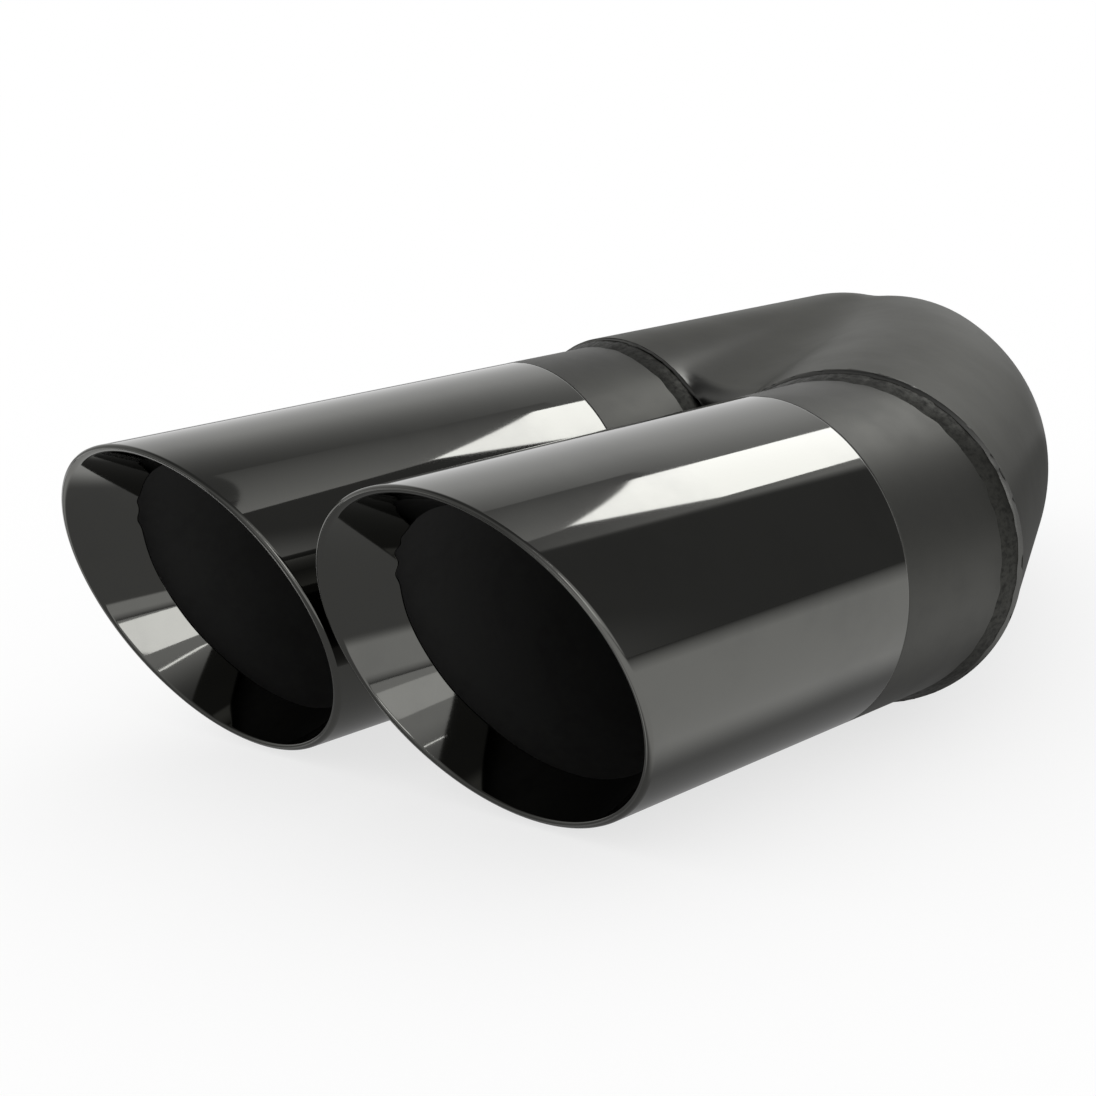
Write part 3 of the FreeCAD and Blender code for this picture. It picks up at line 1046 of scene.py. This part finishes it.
PANELS = (
    # Overhead strip softbox: the hard white streak on the tips.
    Panel("strip_softbox", 6.5, (
        (50, 226, 400), (-95, 283, 400), (-76, 640, 400), (128, 640, 400), (118, 334, 400))),
    # Weak panel in front of it: the soft streak ahead of the hard one, dying away to the left.
    Panel("fill_panel", 0.85, (
        (104, 118, 402), (58, 226, 402), (-95, 300, 402), (-140, 300, 402), (-140, 105, 402)), (-140, 100, 0.32)),
    # Small lamp at the right: the bright patch low in the left tip's lip.
    Panel("window_lamp", 4.3, ((300, -245, 5), (300, -190, -5), (300, -188, 180), (300, -240, 190))),
    # Dim panel beside it: the paler patch low in the right tip's lip.
    Panel("window_curtain", 1.7, ((300, -150, 20), (300, -105, 12), (300, -105, 118), (300, -150, 125))),
    # Thin tube lamps: a line on the left tip's lip, and one on the right tip's.
    Panel("tube_lamp", 5.0, ((260, -252, 292), (260, -247, 296), (260, -208, 243), (260, -213, 239))),
    Panel("far_tube_lamp", 5.0, ((260, -166, 248), (260, -166, 254), (260, -98, 252), (260, -98, 246))),
)


@dataclass
class Studio:
    """White sweep, lit panels, black flag at the side, and the camera.

    Bearings go from +Y towards +X, elevations up from the level.
    """

    floor_z: float = -39.75
    floor_reach: float = 9000.0
    table_glow: float = 0.72  # How far the table lights itself
    shade: float = 0.28  # How bright mirrors see the table right under the pipe
    shade_middle: float = -YBody.pitch / 2
    shade_reach: Span = (72.0, 92.0)  # How far from its middle that shade starts and ends to lift
    fade_reach: float = 350.0  # How far out mirrors see the table start to fade
    fade_power: float = 0.75  # How fast it fades beyond
    wall_light: float = 0.96  # Radiance of the studio wall up to head height
    room_light: float = 0.35  # Radiance of the room behind the camera
    dark_light: float = 0.14  # Radiance of the ceiling and of the flag
    flag_start: Span = (14.0, 20.0)  # Bearings at which the flag starts to darken the wall and is dark
    flag_end: Span = (68.0, 46.0)  # Bearings beyond which it is gone and before which it is still dark
    flag_foot: Span = (-1.0, 0.0)  # Elevations at which its foot starts and it is dark
    ceiling: Span = (30.0, 70.0)  # Elevations at which the wall starts to darken and the ceiling is dark
    # Elevations from which the wall has its own light and down to which it pales to white
    haze: Span = (24.0, 0.0)
    behind: Span = (85.0, 165.0)  # Bearings, either way, at which the room starts to dim and is dim
    camera_place: Point = (257.24, -283.28, 114.84)
    azimuth: float = 49.63  # How far round to the right of the front the camera stands
    elevation: float = 15.88
    roll: float = -3.07
    focal_ratio: float = 1788.0 / 1096.0  # Focal length as a share of the picture's width
    sensor: float = 36.0
    clip_start: float = 0.01

    def floor(self) -> None:
        """Lay the white floor that the pipe rests on."""
        # Lit opal table: white of its own, so that the pipe's shadow on it stays faint.
        material = bpy.data.materials.new("lit_opal_table")
        graph = Graph(material)
        board = graph.add("ShaderNodeBsdfDiffuse", {"Color": WHITE}).outputs[0]
        table = graph.add("ShaderNodeMixShader", {0: self.table_glow, 1: board, 2: graph.white(1.0)}).outputs[0]
        mirrored = graph.white(self.mirrored_table(graph))
        glossy = graph.add("ShaderNodeLightPath").outputs["Is Glossy Ray"]
        seen = graph.add("ShaderNodeMixShader", {0: glossy, 1: table, 2: mirrored}).outputs[0]
        graph.add("ShaderNodeOutputMaterial", {"Surface": seen})
        reach = self.floor_reach
        corners = tuple((x * reach, y * reach, self.floor_z) for x, y in ((-1, -1), (1, -1), (1, 1), (-1, 1)))
        stage_sheet("floor", corners, material)

    def mirrored_table(self, graph: Graph) -> NodeSocket:
        """Work out how bright mirrors see the table: in shade under the pipe, and dimmer far out.

        Args:
            graph: Node tree of the table.

        Returns:
            The radiance.
        """
        place = graph.add("ShaderNodeTexCoord").outputs["Object"]
        middle = scene_point((self.shade_middle, 0.0, 0.0))
        off = graph.add("ShaderNodeVectorMath", {0: place, 1: tuple(middle)}, operation="SUBTRACT").outputs[0]
        aside = graph.maths("ABSOLUTE", graph.add("ShaderNodeSeparateXYZ", {0: off}).outputs[0])
        lift = graph.ramp(aside, *(side * MM for side in self.shade_reach), self.shade)
        away = graph.add("ShaderNodeVectorMath", {0: off}, operation="LENGTH").outputs["Value"]
        share = graph.maths("DIVIDE", self.fade_reach * MM, away, use_clamp=True)
        return graph.maths("MULTIPLY", lift, graph.maths("POWER", share, self.fade_power))

    def surroundings(self) -> None:
        """Light the studio: white to the eye, and to mirrors a bright wall under a dark ceiling, with a flag."""
        world = bpy.data.worlds.new("studio")
        bpy.context.scene.world = world
        graph = Graph(world)
        world.cycles.sampling_method = "NONE"
        way = graph.add("ShaderNodeTexCoord").outputs["Generated"]
        across, along, height = graph.add("ShaderNodeSeparateXYZ", {0: way}).outputs[:3]
        bearing = graph.maths("ARCTAN2", across, along)

        def turned(source: NodeSocket, bearings: Span) -> NodeSocket:
            """Rise from 0 to 1 between two bearings."""
            return graph.ramp(source, *(math.radians(angle) for angle in bearings))

        def raised(elevations: Span) -> NodeSocket:
            """Rise from 0 to 1 between two elevations."""
            return graph.ramp(height, *(math.sin(math.radians(angle)) for angle in elevations))

        flag_sides = graph.maths("MULTIPLY", turned(bearing, self.flag_start), turned(bearing, self.flag_end))
        flag = graph.maths("MULTIPLY", flag_sides, raised(self.flag_foot))
        dark = graph.maths("MAXIMUM", flag, raised(self.ceiling))
        wall = graph.ramp(raised(self.haze), 0.0, 1.0, self.wall_light, 1.0, "LINEAR")
        behind = turned(graph.maths("ABSOLUTE", bearing), self.behind)
        seen = graph.mix(dark, graph.mix(behind, wall, self.room_light), self.dark_light)
        glossy = graph.add("ShaderNodeLightPath").outputs["Is Glossy Ray"]
        sky = graph.add("ShaderNodeBackground", {"Color": WHITE, "Strength": graph.mix(glossy, 1.0, seen)})
        graph.add("ShaderNodeOutputWorld", {"Surface": sky.outputs[0]})

    def camera(self) -> None:
        """Set up the camera where the photo was taken from."""
        azimuth, elevation, roll = (math.radians(value) for value in (self.azimuth, self.elevation, self.roll))
        back = Vector((math.sin(azimuth) * math.cos(elevation), -math.cos(azimuth) * math.cos(elevation),
                       math.sin(elevation)))
        level = Vector((math.cos(azimuth), math.sin(azimuth), 0.0))
        upward = back.cross(level)
        right = math.cos(roll) * level + math.sin(roll) * upward
        up = math.cos(roll) * upward - math.sin(roll) * level
        data = bpy.data.cameras.new("camera")
        data.sensor_width = self.sensor
        data.lens = self.focal_ratio * self.sensor
        data.clip_start = self.clip_start
        camera = bpy.data.objects.new("camera", data)
        bpy.context.collection.objects.link(camera)
        turn = Matrix((right, up, back)).transposed().to_4x4()
        camera.matrix_world = Matrix.Translation(scene_point(self.camera_place)) @ turn
        bpy.context.scene.camera = camera

    def build(self) -> None:
        """Build the studio round the pipe."""
        self.floor()
        for panel in PANELS:
            panel.build()
        self.surroundings()
        self.camera()
        bpy.context.scene.view_settings.view_transform = "Standard"


def main() -> None:
    """Build the pipe and its studio."""
    YPipe(YBody()).build()
    Studio().build()


if __name__ == "__main__":
    main()
